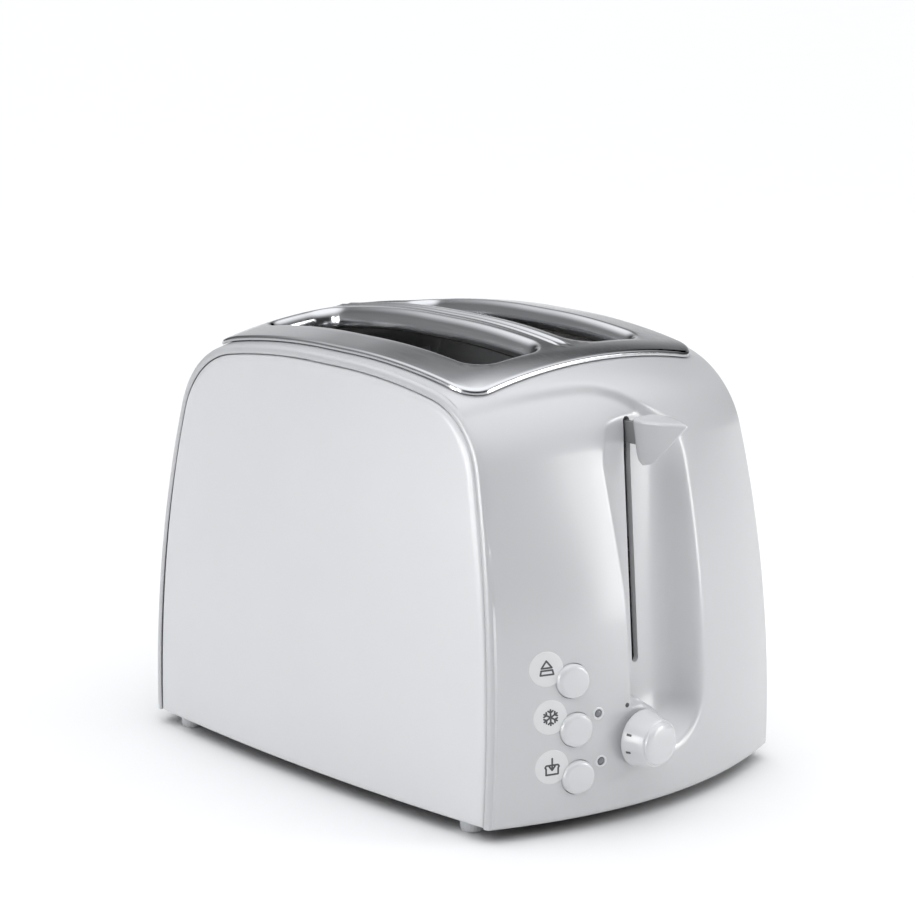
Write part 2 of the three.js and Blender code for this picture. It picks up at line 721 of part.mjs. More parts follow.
function button({ x, z }) {
  const cap = rodY(x, z, BUTTON_RADIUS, -140, -114.5, 24).intersect(loaf(BUTTON_PROUD));
  const collar = rodY(x, z, BUTTON_RADIUS + 1.2, -115.6, -114, 24);
  const stem = rodY(x, z, 2.4, -115, -112.4, 12);
  return join(cap, collar, stem);
}

function tactSwitch({ x, z }) {
  const back = BOARD_Y - 0.8 - CLEAR;
  const body = box([x - 3, x + 3], [back - 2.2, back], [z - 3, z + 3]);
  return join(body, rodY(x, z, 1.4, -110.6, back, 12));
}

function indicator({ x, z }) {
  const pipe = rodY(x, z, INDICATOR_RADIUS, -140, BOARD_Y - 1.4, 12);
  return pipe.intersect(loaf(0.3));
}

function controlBoard() {
  const board = box([-60, -5.5], [BOARD_Y - 0.8, BOARD_Y + 0.8], [13, 76]);
  return cut(board, box([-30, 0], [-110, -100], [58, 80]));
}

function mainsSwitch() {
  const block = box([-34, -14], [-103.5, -95], [9.7, 30]);
  const blades = [-30, -18].map((x) => box([x - 1.6, x + 1.6], [-101, -100], [29, 36]));
  return join(block, ...blades);
}

// ---- Underside and rear ----
function crumbTray() {
  const { halfWidth: half, low, high, front, rear, wall } = TRAY;
  const pan = box([-half, half], [front, rear], [low, high]);
  const well = box([-half + wall, half - wall], [front + wall, rear - wall], [low + wall, 60]);
  const wallBand = loaf(0).subtract(loaf(-WALL, { margin: 6, dip: 6 }));
  const grip = wallBand.intersect(box([-62, 62], [100, 150], [10.1, 18.2]));
  const midWall = loaf(-WALL / 2, { margin: 6, dip: 6 });
  const tongue = box([-40, 40], [rear - wall, 127.5], [low + 1, low + 2.6]).intersect(midWall);
  return join(pan.subtract(well), tongue, grip);
}

function cordGland() {
  const { x, z, radius, bore } = GLAND;
  const wallY = -frontSurfaceY(x, z);
  const sleeve = rodY(x, z, radius, wallY - 9, wallY + 1.5, 16);
  const flange = rodY(x, z, radius + 2, wallY - WALL - 5.5, wallY - WALL - 3.6, 16);
  return join(sleeve, flange).subtract(rodY(x, z, bore, 80, 150, 16));
}

function baseScrew() {
  const profile = [
    [0, 4.6],
    [2.6, 4.6],
    [3.2, 5.2],
    [3.2, 6.2],
    [1.6, 6.2],
    [1.6, 22],
    [0, 22.6],
  ].map(([x, y]) => new THREE.Vector2(x, y));
  return new THREE.LatheGeometry(profile, 12).rotateX(Math.PI / 2);
}

// ---- Assembly ----
const toaster = new THREE.Group();
toaster.position.y = MIDDLE_Y;

function add(name, shape, look, x = 0, y = 0) {
  const geometry = shape.isBufferGeometry ? shape : geometryOf(shape);
  const mesh = new THREE.Mesh(geometry, LOOKS[look]());
  mesh.name = name;
  mesh.position.set(x, y, 0);
  toaster.add(mesh);
}

const SIDES = [
  ['left', -1],
  ['right', 1],
];

add('housing_shell', housingShell(), 'white');
for (const [name, side] of SIDES) {
  add(`side_panel_${name}`, sidePanel(side), 'panel');
}
add('top_plate', topPlate(), 'chrome');
add('base_plate', basePlate(), 'base');
['front_left', 'front_right', 'rear_left', 'rear_right'].forEach((name, i) => {
  add(`foot_${name}`, foot(), 'rubber', ...footPlaces()[i]);
});

add('front_chassis_plate', frontChassis(), 'steel');
add('rear_chassis_plate', chassisPlate(REAR_CHASSIS_Y, false), 'steel');
for (const [name, side] of SIDES) {
  add(`heat_reflector_${name}`, reflector(side), 'steel');
  add(`element_centre_${name}`, elementCard(side * ELEMENT_X[0]), 'mica');
  add(`element_outer_${name}`, elementCard(side * ELEMENT_X[1]), 'mica');
  add(`bread_guide_${name}_inner`, breadGuide(side * (SLOT_CENTRE_X - GUIDE.offset)), 'steel');
  add(`bread_guide_${name}_outer`, breadGuide(side * (SLOT_CENTRE_X + GUIDE.offset)), 'steel');
  add(`bread_rack_${name}`, breadRack(side), 'steel');
}

add('carriage_bracket', carriage(), 'steel');
add('lever_arm', leverArm(), 'darkSteel');
add('lever_knob', leverKnob(), 'white');
add('armature_plate', armature(), 'darkSteel');
add('guide_rod', rodZ(ROD.x, ROD.y, ROD.radius, 9.6, CHASSIS_TOP + 2, 16), 'steel');
add('return_spring', returnSpring(), 'steel');
add('magnet_core', magnetCore(), 'darkSteel');
add('magnet_coil', magnetCoil(), 'copper');

add('control_board', controlBoard(), 'board');
add('browning_control', potentiometer(), 'darkSteel');
add('browning_knob', browningKnob(), 'white');
for (const place of BUTTONS) {
  add(`button_${place.name}`, button(place), 'white');
  add(`switch_${place.name}`, tactSwitch(place), 'black');
}
for (const place of INDICATORS) {
  add(`indicator_${place.name}`, indicator(place), 'lens');
}
add('mains_switch', mainsSwitch(), 'black');

add('crumb_tray', crumbTray(), 'steel');
add('cord_gland', cordGland(), 'rubber');
['front_left', 'front_right', 'rear_left', 'rear_right'].forEach((name, i) => {
  const x = (i % 2 ? 1 : -1) * BOSS.x;
  const y = (i < 2 ? -1 : 1) * BOSS.y;
  add(`base_screw_${name}`, baseScrew(), 'darkSteel', x, y);
});

export default toaster;
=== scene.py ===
"""Two-slice pop-up toaster: the visible surfaces, materials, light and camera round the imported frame."""
import math

import bmesh
import bpy
import numpy as np
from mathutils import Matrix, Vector
from mathutils.geometry import delaunay_2d_cdt


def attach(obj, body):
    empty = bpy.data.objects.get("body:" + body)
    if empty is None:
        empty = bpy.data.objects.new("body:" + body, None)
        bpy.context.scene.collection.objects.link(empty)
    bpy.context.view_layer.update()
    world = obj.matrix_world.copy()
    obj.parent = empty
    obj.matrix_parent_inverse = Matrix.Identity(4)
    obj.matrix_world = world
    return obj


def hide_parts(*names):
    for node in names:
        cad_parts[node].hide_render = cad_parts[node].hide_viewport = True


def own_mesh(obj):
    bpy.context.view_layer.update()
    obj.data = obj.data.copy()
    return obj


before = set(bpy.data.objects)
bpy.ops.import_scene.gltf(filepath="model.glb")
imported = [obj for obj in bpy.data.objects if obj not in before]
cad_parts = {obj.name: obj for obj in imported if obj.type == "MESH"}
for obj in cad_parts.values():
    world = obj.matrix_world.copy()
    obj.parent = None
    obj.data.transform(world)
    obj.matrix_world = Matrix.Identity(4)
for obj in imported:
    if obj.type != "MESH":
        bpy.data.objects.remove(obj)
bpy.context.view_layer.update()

MM = 0.001

# ---- Housing shape, in millimetres, as in the CAD ----
MIDDLE_Y = 6.95
BASE_Z = 6.3
BASE_LENGTH = 221.7
BASE_WIDTH = 168
CROWN_HEIGHT = 177.9
END_RADIUS = 525
CORNER_RADIUS = 42
CROWN_RADIUS = 335
LEAN = 0.048
TAPER = (0.051, 0.069)
END_BULGE = 18.8
CROWN_BULGE = 6.6
PANEL_CROWN = 5.6
WALL = 3.4
RIM_ROUND = 2.2
EDGE_DEPTH = 1.7

CHANNEL_HALF_WIDTH = 20
CHANNEL_LOW_Z = 49
CHANNEL_HIGH_Z = 143
CHANNEL_TOP_RISE = 28
CHANNEL_POWER = 2.4
FLOOR_Y = -112.3
FLOOR_Z = 61
FLOOR_SLOPE = 0.0716
SKIN = 2.6
SLOT_X = -2
SLOT_WIDTH = 3.8
SLOT_Z = (61, 164.6)

WING_DEPTH = 4.2
CREASE_X = -24
CREASE_TOP_Z = 177.85
CREASE_LEFT_FALL = 0.0017
CREASE_REACH = 44.8
CREASE_DROP = 57.85
CREASE_POWER = 2.5

KNOB_X, KNOB_Z = -17.5, 36
KNOB_SEAT_RADIUS = 15
BUTTONS = {"cancel": (-48.7, 64.9), "frozen": (-47.8, 44.4), "reheat": (-47, 24.2)}
BUTTON_RADIUS = 7.1
BUTTON_PROUD = 2.3
INDICATORS = {"frozen": (-37.3, 49.5), "reheat": (-36.1, 29.1)}
INDICATOR_RADIUS = 1.5
ICONS = {"cancel": (-59.7, 71.1), "frozen": (-58.9, 51.1), "reheat": (-58.5, 30.2)}
ICON_RADIUS = 7.2

PLATE = {"half": 68, "front": -82, "rear": 86, "corner": 12}
PLATE_LAP = 4.5
SLOT_CENTRE_X = 29
SLOT_HALF = 18
BREAD_Y = (-64, 73)
SLOT_CORNER = 9
RIDGE_Y = (-67, 78)
PLATE_TOP = 2.5
SLOT_ROLL = (4.4, 8.4)
SLOT_WALL = 9.3

KNOB_Y = -131.1
DIAL_MARKS = (158, 196)
DIAL_MARK_DEPTH = (2.4, 4.6)
POINTER = (-22.9, 50.5)
POINTER_RADIUS = 1.05

TRAY_MOUTH = (-62.5, 62.5, 9.7, 18.6)
TRAY_MOUTH_CORNER = 1.2
GLAND_PLACE = (52, 30)
GLAND_HOLE = 5.3

CHAMBER_Y = (-77.7, 83.2)
GUIDE = {"offset": 15.5, "low": 24, "high": 150, "radius": 0.8, "wires": 8, "inset": 10}
ROD = (14, -97)
SPRING = {"low": 14.6, "high": 109.6, "radius": 4.4, "wire": 0.5, "coils": 11, "keep": 0.0737}


# ---- Materials ----
def node_material(name, base, roughness, metallic=0.0, vary=0.02, grain=700, bump=0.05,
                  stretch=(1, 1, 1), coat=0.0, rough_vary=0.04, cloud=18):
    """A Principled material whose colour, roughness and fine relief vary with noise."""
    material = bpy.data.materials.new(name)
    material.use_nodes = True
    nodes, links = material.node_tree.nodes, material.node_tree.links
    shader = nodes["Principled BSDF"]
    shader.inputs["Metallic"].default_value = metallic
    shader.inputs["Coat Weight"].default_value = coat
    shader.inputs["Coat Roughness"].default_value = 0.2
    place = nodes.new("ShaderNodeTexCoord")
    mapping = nodes.new("ShaderNodeMapping")
    mapping.inputs["Scale"].default_value = stretch
    links.new(place.outputs["Object"], mapping.inputs["Vector"])

    fine = nodes.new("ShaderNodeTexNoise")
    fine.inputs["Scale"].default_value = grain
    fine.inputs["Detail"].default_value = 3
    broad = nodes.new("ShaderNodeTexNoise")
    broad.inputs["Scale"].default_value = cloud
    for noise in (fine, broad):
        links.new(mapping.outputs["Vector"], noise.inputs["Vector"])

    colour = nodes.new("ShaderNodeValToRGB")
    low, high = colour.color_ramp.elements
    low.position, high.position = 0.3, 0.7
    low.color = [max(c * (1 - vary), 0) for c in base] + [1]
    high.color = [min(c * (1 + vary), 1) for c in base] + [1]
    links.new(broad.outputs["Fac"], colour.inputs["Fac"])
    links.new(colour.outputs["Color"], shader.inputs["Base Color"])

    rough = nodes.new("ShaderNodeMapRange")
    rough.inputs["From Min"].default_value = 0.3
    rough.inputs["From Max"].default_value = 0.7
    rough.inputs["To Min"].default_value = max(roughness - rough_vary, 0.02)
    rough.inputs["To Max"].default_value = roughness + rough_vary
    links.new(fine.outputs["Fac"], rough.inputs["Value"])
    links.new(rough.outputs["Result"], shader.inputs["Roughness"])

    relief = nodes.new("ShaderNodeBump")
    relief.inputs["Strength"].default_value = bump
    relief.inputs["Distance"].default_value = 0.0002
    links.new(fine.outputs["Fac"], relief.inputs["Height"])
    links.new(relief.outputs["Normal"], shader.inputs["Normal"])
    return material


# One white plastic in three tones: the housing and lever copy is dimmed to paint the shade on the front,
# the side panels' copy is brightened to paint the light falling on the sides, and the controls' copy sits
# between.
SHADED_WHITE = node_material("white_gloss", (0.6, 0.605, 0.615), 0.3, vary=0.008, grain=240,
                      bump=0.002, coat=0.7, rough_vary=0.01)
LIT_WHITE = node_material("panel_white", (0.77, 0.775, 0.785), 0.36, vary=0.008, grain=240,
                      bump=0.002, coat=0.35, rough_vary=0.01)
BUTTON = node_material("button_white", (0.7, 0.705, 0.715), 0.26, vary=0.008, grain=240,
                       bump=0.002, coat=0.5, rough_vary=0.01)
CHROME = node_material("chrome_plate", (0.48, 0.485, 0.495), 0.17, 1.0, vary=0.02, grain=900,
                       bump=0.03, stretch=(1, 0.05, 1))
STEEL = node_material("inner_steel", (0.55, 0.56, 0.57), 0.34, 1.0, vary=0.06, grain=900,
                      bump=0.15, stretch=(1, 1, 0.06), rough_vary=0.08)
DARK_STEEL = node_material("dark_steel", (0.28, 0.285, 0.29), 0.45, 1.0, vary=0.1, bump=0.2)
# Mica brown, dimmed well past real mica to paint the shade deep inside the slots.
SHADE_DIMMED_MICA = node_material("mica", (0.26, 0.22, 0.17), 0.6, vary=0.18, grain=350, bump=0.3, cloud=60)
BASE = node_material("base_black", (0.035, 0.035, 0.038), 0.5, vary=0.15, grain=1200, bump=0.5)
FOOT = node_material("foot_grey", (0.68, 0.69, 0.7), 0.5, vary=0.04, grain=1500, bump=0.3)
BOARD = node_material("board_green", (0.05, 0.2, 0.08), 0.35, vary=0.15, grain=500, bump=0.1)
BLACK = node_material("black_plastic", (0.02, 0.02, 0.022), 0.4, vary=0.2, grain=900, bump=0.3)
COPPER = node_material("copper_wire", (0.55, 0.25, 0.1), 0.35, 1.0, vary=0.12,
                       stretch=(1, 1, 8), bump=0.6)
LENS = node_material("lens_grey", (0.2, 0.21, 0.23), 0.12, vary=0.1, coat=0.5, bump=0.02)
DISC = node_material("icon_disc", (0.76, 0.765, 0.77), 0.4, vary=0.008, grain=240, bump=0.002)
INK = node_material("icon_ink", (0.07, 0.07, 0.075), 0.45, vary=0.15, grain=1500, bump=0.1)


# ---- Mesh helpers ----
def make_piece(name, points, faces, material, body="root", slot=None, replaces=(), sharp=35):
    """A mesh piece from points in CAD millimetres (before the shift to the middle)."""
    mesh = bpy.data.meshes.new(name)
    place = (np.asarray(points, float) + (0, MIDDLE_Y, 0)) * MM
    mesh.from_pydata(place.tolist(), [], faces)
    piece = bpy.data.objects.new(name, mesh)
    bpy.context.scene.collection.objects.link(piece)
    tidy_mesh(mesh, sharp)
    mesh.materials.append(material)
    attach(piece, body)
    if replaces:
        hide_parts(*replaces)
    return piece


def tidy_mesh(mesh, sharp=35, weld=1e-6):
    work = bmesh.new()
    work.from_mesh(mesh)
    bmesh.ops.remove_doubles(work, verts=work.verts, dist=weld)
    bmesh.ops.recalc_face_normals(work, faces=work.faces)
    work.to_mesh(mesh)
    work.free()
    mesh.shade_smooth()
    mesh.set_sharp_from_angle(angle=math.radians(sharp))


def grid_faces(rows, columns, close_rows=False, close_columns=False):
    faces = []
    for r in range(rows if close_rows else rows - 1):
        for c in range(columns if close_columns else columns - 1):
            r2, c2 = (r + 1) % rows, (c + 1) % columns
            faces.append((r * columns + c, r * columns + c2, r2 * columns + c2, r2 * columns + c))
    return faces


def apply_modifiers(piece):
    bpy.context.view_layer.update()
    graph = bpy.context.evaluated_depsgraph_get()
    mesh = bpy.data.meshes.new_from_object(piece.evaluated_get(graph))
    piece.modifiers.clear()
    piece.data = mesh


def cut_away(piece, cutters, sharp=35):
    """Takes the closed cutter solids, a list of (points, faces) in CAD millimetres, from a piece."""
    points, faces = [], []
    for solid_points, solid_faces in cutters:
        start = len(points)
        points += [tuple(p) for p in solid_points]
        faces += [tuple(i + start for i in f) for f in solid_faces]
    mesh = bpy.data.meshes.new("cutter")
    place = (np.asarray(points, float) + (0, MIDDLE_Y, 0)) * MM
    mesh.from_pydata(place.tolist(), [], faces)
    tidy_mesh(mesh)
    cutter = bpy.data.objects.new("cutter", mesh)
    bpy.context.scene.collection.objects.link(cutter)
    knife = piece.modifiers.new("cut", "BOOLEAN")
    knife.operation = "DIFFERENCE"
    knife.solver = "EXACT"
    knife.object = cutter
    apply_modifiers(piece)
    bpy.data.objects.remove(cutter)
    piece.data.shade_smooth()
    piece.data.set_sharp_from_angle(angle=math.radians(sharp))


def prism(outline, axis, low, high):
    """A closed solid: an outline of (a, b) pairs swept along the Y or Z axis."""
    n = len(outline)
    if axis == "y":
        ends = [[(a, level, b) for a, b in outline] for level in (low, high)]
    else:
        ends = [[(a, b, level) for a, b in outline] for level in (low, high)]
    points = ends[0] + ends[1]
    faces = [tuple(range(n)), tuple(range(2 * n - 1, n - 1, -1))]
    faces += [(i, (i + 1) % n, n + (i + 1) % n, n + i) for i in range(n)]
    return points, faces


def circle(x, z, radius, count=64):
    turns = [2 * math.pi * k / count for k in range(count)]
    return [(x + radius * math.cos(t), z + radius * math.sin(t)) for t in turns]


def rounded(x0, x1, y0, y1, radius, steps=12):
    corners = [(x1 - radius, y0 + radius, -90), (x1 - radius, y1 - radius, 0),
               (x0 + radius, y1 - radius, 90), (x0 + radius, y0 + radius, 180)]
    outline = []
    for cx, cy, start in corners:
        for i in range(steps + 1):
            turn = math.radians(start + 90 * i / steps)
            outline.append((cx + radius * math.cos(turn), cy + radius * math.sin(turn)))
    return outline


# ---- The housing's surface ----
def half_width(z):
    up = np.clip((np.asarray(z, float) - BASE_Z) / CROWN_HEIGHT, 0, 1.1)
    return BASE_WIDTH / 2 * (1 - TAPER[0] * up - TAPER[1] * up * up)


def edge_outline(front_step, rear_step, crown_step):
    """Rows y, z, ny, nz from the foot of the front wall, over the crown, to the rear foot."""
    end = np.array([BASE_LENGTH / 2 - END_RADIUS, BASE_Z])
    crown = np.array([0, BASE_Z + CROWN_HEIGHT - CROWN_RADIUS])
    from_end, from_crown = END_RADIUS - CORNER_RADIUS, CROWN_RADIUS - CORNER_RADIUS
    span = np.linalg.norm(crown - end)
    unit = (crown - end) / span
    along = (from_end ** 2 - from_crown ** 2 + span ** 2) / (2 * span)
    aside = math.sqrt(from_end ** 2 - along ** 2)
    centre = end + along * unit + aside * np.array([-unit[1], unit[0]])
    low = math.atan2(*(centre - end)[::-1])
    high = math.atan2(*(centre - crown)[::-1])
    arcs = [(end, END_RADIUS, 0, low), (centre, CORNER_RADIUS, low, high),
            (crown, CROWN_RADIUS, high, math.pi / 2)]

    def half(wall_step):
        rows = []
        for k, (middle, radius, start, stop) in enumerate(arcs):
            step = crown_step if k == 2 else wall_step
            count = max(int(radius * (stop - start) / step), 4)
            for turn in np.linspace(start, stop, count + 1)[1 if k else 0:]:
                z = middle[1] + radius * math.sin(turn)
                y = middle[0] + radius * math.cos(turn) + LEAN * (z - BASE_Z)
                rows.append((y, z, math.cos(turn), math.sin(turn)))
        rows[-1] = (0, rows[-1][1], 0, 1)
        return np.array(rows)

    front = half(front_step)[:-1] * (-1, 1, -1, 1)
    return np.vstack([front, half(rear_step)[::-1]])


def surface(edges, s, offset=0.0):
    """Points of the surface for edge rows and places s across the width, from -1 to 1."""
    y, z, ny, nz = (edges[:, i, None] for i in range(4))
    s = np.asarray(s, float)[None, :]
    bow = (END_BULGE * ny ** 2 + CROWN_BULGE * nz ** 2) * (1 - s * s) + offset
    return np.stack([s * half_width(z), y + ny * bow, z + nz * bow + 0 * s], -1)


FRONT_EDGES = edge_outline(1.0, 4.0, 4.0)


def front_y(x, z):
    """Y of the front wall's outer surface, without the channel."""
    rows = FRONT_EDGES[FRONT_EDGES[:, 0] < -40]
    s = np.clip(abs(x) / half_width(rows[:, 1]), 0, 1)
    bow = (END_BULGE * rows[:, 2] ** 2 + CROWN_BULGE * rows[:, 3] ** 2) * (1 - s * s)
    return float(np.interp(z, rows[:, 1] + rows[:, 3] * bow, rows[:, 0] + rows[:, 2] * bow))


# ---- Lever channel: share of the full depth, on a grid seen from the front ----
GRID = 0.5
GRID_X = np.arange(-84, 84.1, GRID)
GRID_Z = np.arange(0, 200.1, GRID)


def blurred(field, sigma):
    reach = int(3 * sigma / GRID) + 1
    weights = np.exp(-0.5 * (np.arange(-reach, reach + 1) * GRID / sigma) ** 2)
    weights /= weights.sum()
    for axis in (0, 1):
        field = np.apply_along_axis(lambda row: np.convolve(row, weights, "same"), axis, field)
    return field


def smooth(value, low, high):
    t = np.clip((value - low) / (high - low), 0, 1)
    return t * t * (3 - 2 * t)


def channel_field():
    x, z = np.meshgrid(GRID_X, GRID_Z)
    reach = np.abs(x) / CHANNEL_HALF_WIDTH
    upper = np.hypot(reach, (z - CHANNEL_HIGH_Z) / CHANNEL_TOP_RISE)
    lower = np.hypot(x, z - CHANNEL_LOW_Z) / CHANNEL_HALF_WIDTH
    reach = np.where(z > CHANNEL_HIGH_Z, upper, np.where(z < CHANNEL_LOW_Z, lower, reach))
    share = np.clip(1 - reach ** CHANNEL_POWER, 0, 1) ** (1 / CHANNEL_POWER)
    share[np.hypot(x - KNOB_X, z - KNOB_Z) < KNOB_SEAT_RADIUS] = 0
    # the left edge and the knob seat are crisp, the right and upper rim are well rounded
    soft = np.maximum(smooth(x, -6, 6), smooth(z, 158, 170))
    near_seat = 1 - smooth(np.hypot(x - KNOB_X, z - KNOB_Z), 17, 22)
    soft = soft * (1 - near_seat)
    return blurred(share, 0.7) * (1 - soft) + blurred(share, 2.3) * soft


def crease_height(x):
    """Height of the crease: a slow fall to the left, a rounded shoulder over the lever's right."""
    left = CREASE_LEFT_FALL * np.minimum(x - CREASE_X, 0) ** 2
    reach = np.clip((x - CREASE_X) / CREASE_REACH, 0, 1)
    shoulder = (1 - reach ** CREASE_POWER) ** (1 / CREASE_POWER)
    return CREASE_TOP_Z - left - CREASE_DROP * (1 - shoulder)


def wing_field():
    """Depth in millimetres of the hollow left of the channel, below the crease over the lever."""
    x, z = np.meshgrid(GRID_X, GRID_Z)
    crease = crease_height(x)
    slope = np.gradient(crease, GRID, axis=1)
    inside_by = (crease - z) / np.hypot(1, slope)
    below = smooth(inside_by, -1.6, 4.2)
    fade_left = 0.55 + 0.45 * smooth(x, -74, -30)
    fade_right = 1 - smooth(x, 8, 17)
    fade_down = smooth(z, 84, 158)
    return WING_DEPTH * below * fade_left * fade_right * fade_down


CHANNEL = channel_field()
WING = wing_field()


def sample(field, x, z):
    u = np.clip((x - GRID_X[0]) / GRID, 0, len(GRID_X) - 1.001)
    v = np.clip((z - GRID_Z[0]) / GRID, 0, len(GRID_Z) - 1.001)
    i, j = u.astype(int), v.astype(int)
    u, v = u - i, v - j
    lower = field[j, i] * (1 - u) + field[j, i + 1] * u
    upper = field[j + 1, i] * (1 - u) + field[j + 1, i + 1] * u
    return lower * (1 - v) + upper * v


def hollowed(points, skin=0.0):
    """Front wall points moved back into the lever channel and the shallow wing."""
    x, y, z = points[..., 0], points[..., 1].copy(), points[..., 2]
    front = y < -20
    wing = sample(WING, x, z)
    share = sample(CHANNEL, x, z)
    floor = FLOOR_Y + FLOOR_SLOPE * (z - FLOOR_Z) + skin
    moved = y + wing
    moved = moved + share * np.maximum(floor - moved, 0)
    y = np.where(front, moved, y)
    return np.stack([x, y, z], -1)


# ---- Housing ----
def housing_rim(edges, side):
    """Rounded outer corner, flat rim and inner corner of the housing's open side."""
    columns = []
    for turn in np.radians(np.arange(15, 91, 15)):
        column = surface(edges, [side], -RIM_ROUND * (1 - math.cos(turn)))
        column[..., 0] -= side * RIM_ROUND * (1 - math.sin(turn))
        columns.append(column)
    columns.append(surface(edges, [side], -WALL + 0.4))
    last = surface(edges, [side], -WALL)
    last[..., 0] -= side * 0.4
    columns.append(last)
    return np.concatenate(columns, 1)


def housing_cutters():
    """Holes for the lever, dial, buttons, lamps, crumb tray, cord gland and top plate."""
    half = SLOT_WIDTH / 2
    slot = rounded(SLOT_X - half, SLOT_X + half, *SLOT_Z, half - 0.05, 6)
    cutters = [prism(slot, "y", -125, -80), prism(circle(KNOB_X, KNOB_Z, 4), "y", -150, -80)]
    cutters += [prism(circle(x, z, BUTTON_RADIUS + 0.25), "y", -150, -100)
                for x, z in BUTTONS.values()]
    cutters += [prism(circle(x, z, INDICATOR_RADIUS + 0.2, 32), "y", -150, -100)
                for x, z in INDICATORS.values()]
    cutters.append(prism(rounded(*TRAY_MOUTH, TRAY_MOUTH_CORNER), "y", 100, 150))
    cutters.append(prism(circle(*GLAND_PLACE, GLAND_HOLE), "y", 100, 150))
    mouth = rounded(-PLATE["half"] + PLATE_LAP, PLATE["half"] - PLATE_LAP,
                    PLATE["front"] + PLATE_LAP, PLATE["rear"] - PLATE_LAP,
                    PLATE["corner"] - PLATE_LAP)
    cutters.append(prism(mouth, "z", 130, 230))
    return cutters


def housing():
    edges = edge_outline(0.9, 2.2, 2.2)
    across = 186
    s_flat = 1 - RIM_ROUND / (BASE_WIDTH / 2)
    outer_s = np.linspace(-s_flat, s_flat, across + 1)
    inner_s = np.linspace(0.985, -0.985, 62)
    outer = hollowed(surface(edges, outer_s))
    inner = hollowed(surface(edges, inner_s, -WALL), SKIN)
    band = np.concatenate([outer, housing_rim(edges, 1), inner,
                           housing_rim(edges, -1)[:, ::-1]], 1)
    # a small round along the lower edge
    for row, drop in ((0, 0.9), (1, 0.25)):
        for at in (row, -1 - row):
            band[at, :across + 1, 1] -= np.sign(band[at, :across + 1, 1]) * drop
    rows, columns = band.shape[:2]
    faces = grid_faces(rows, columns, close_columns=True)
    faces.append(tuple(range(columns)))
    faces.append(tuple((rows - 1) * columns + c for c in range(columns - 1, -1, -1)))
    piece = make_piece("housing", band.reshape(-1, 3), faces, SHADED_WHITE, slot="white_gloss",
                       replaces=["housing_shell"])
    cut_away(piece, housing_cutters())


def side_panel(side, name):
    """A domed panel with a rounded edge, set a little below the housing's rim."""
    inset, rounding = WALL + 0.35, 3.4
    edges = edge_outline(3.0, 3.0, 3.0)
    rim = np.stack([edges[:, 0] - edges[:, 2] * inset, edges[:, 1] - edges[:, 3] * inset], -1)
    foot_y = rim[-1, 0]
    foot = [(y, BASE_Z) for y in np.linspace(foot_y, -foot_y, 60)[1:-1]]
    rim = np.vstack([rim, foot])
    middle = np.array([0, 80.0])
    inward = middle - rim
    inward /= np.linalg.norm(inward, axis=1, keepdims=True)

    def skin(place, drop):
        y, z = place[:, 0], place[:, 1]
        along = np.clip(np.abs(y) / (BASE_LENGTH / 2), 0, 1)
        up = (z - BASE_Z) / CROWN_HEIGHT
        dome = PANEL_CROWN * (1 - along ** 2) * (1 - up ** 4)
        return np.stack([side * (half_width(z) - 0.3 + dome - drop), y, z], -1)

    rings = []
    for share in np.linspace(0.02, 1, 40):
        shrunk = rim + inward * rounding
        rings.append(skin(middle + share * (shrunk - middle), 0.0))
    for turn in np.radians(np.arange(15, 91, 15)):
        rings.append(skin(rim + inward * rounding * (1 - math.sin(turn)),
                          EDGE_DEPTH * (1 - math.cos(turn))))
    rings.append(skin(rim, 4.6))
    for share in np.linspace(0.95, 0.02, 12):
        rings.append(skin(middle + share * (rim - middle), 4.6))
    band = np.array(rings)
    rows, columns = band.shape[:2]
    faces = grid_faces(rows, columns, close_columns=True)
    faces.append(tuple(range(columns)))
    faces.append(tuple((rows - 1) * columns + c for c in range(columns - 1, -1, -1)))
    make_piece(f"panel_{name}", band.reshape(-1, 3), faces, LIT_WHITE, slot="panel_white",
               replaces=[f"side_panel_{name}"])


# ---- Top plate ----
def top_z(x, y, offset):
    """Height of the crown above a place in plan, with the surface moved out by offset."""
    z = 180.0
    for _ in range(4):
        s = min(abs(x) / float(half_width(z)), 1)
        bow = (END_BULGE * TOP_ROWS[:, 2] ** 2 + CROWN_BULGE * TOP_ROWS[:, 3] ** 2) * (1 - s * s)
        bow = bow + offset
        along = TOP_ROWS[:, 0] + TOP_ROWS[:, 2] * bow
        z = float(np.interp(y, along, TOP_ROWS[:, 1]))
    return float(np.interp(y, along, TOP_ROWS[:, 1] + TOP_ROWS[:, 3] * bow))


TOP_ROWS = edge_outline(1.5, 1.5, 2.0)
TOP_ROWS = TOP_ROWS[TOP_ROWS[:, 3] > 0.25]


def ridge_rise(x, y):
    """The pair of fine ridges that runs between the slots, with a groove between them."""
    rise = 0.75 * (math.exp(-((abs(x) - 2.3) / 0.75) ** 2)) - 0.35 * math.exp(-(x / 0.9) ** 2)
    ends = float(smooth(y, RIDGE_Y[0], RIDGE_Y[0] + 4) * (1 - smooth(y, RIDGE_Y[1] - 4, RIDGE_Y[1])))
    return rise * ends


def offset_outline(half_x, y0, y1, corner, grow, middle=0.0, steps=10):
    return rounded(middle - half_x - grow, middle + half_x + grow, y0 - grow, y1 + grow,
                   max(corner + grow, 0.5), steps)


def refined(outline, step):
    """The outline with its long sides cut into steps."""
    points = []
    for i, (x, y) in enumerate(outline):
        x2, y2 = outline[(i + 1) % len(outline)]
        count = max(int(math.hypot(x2 - x, y2 - y) / step), 1)
        points += [(x + (x2 - x) * k / count, y + (y2 - y) * k / count) for k in range(count)]
    return points


def plate_rings(outline_at, profile):
    """Closed rings of points: profile gives (grow, drop) from the sheet's top for each ring."""
    rings = []
    for grow, drop in profile:
        rings.append([(x, y, top_z(x, y, PLATE_TOP) - drop) for x, y in outline_at(grow)])
    return rings


def strip_between(faces, rings, start):
    count = len(rings[0])
    for r in range(len(rings) - 1):
        for i in range(count):
            j = (i + 1) % count
            a = start + r * count
            faces.append((a + i, a + j, a + count + j, a + count + i))


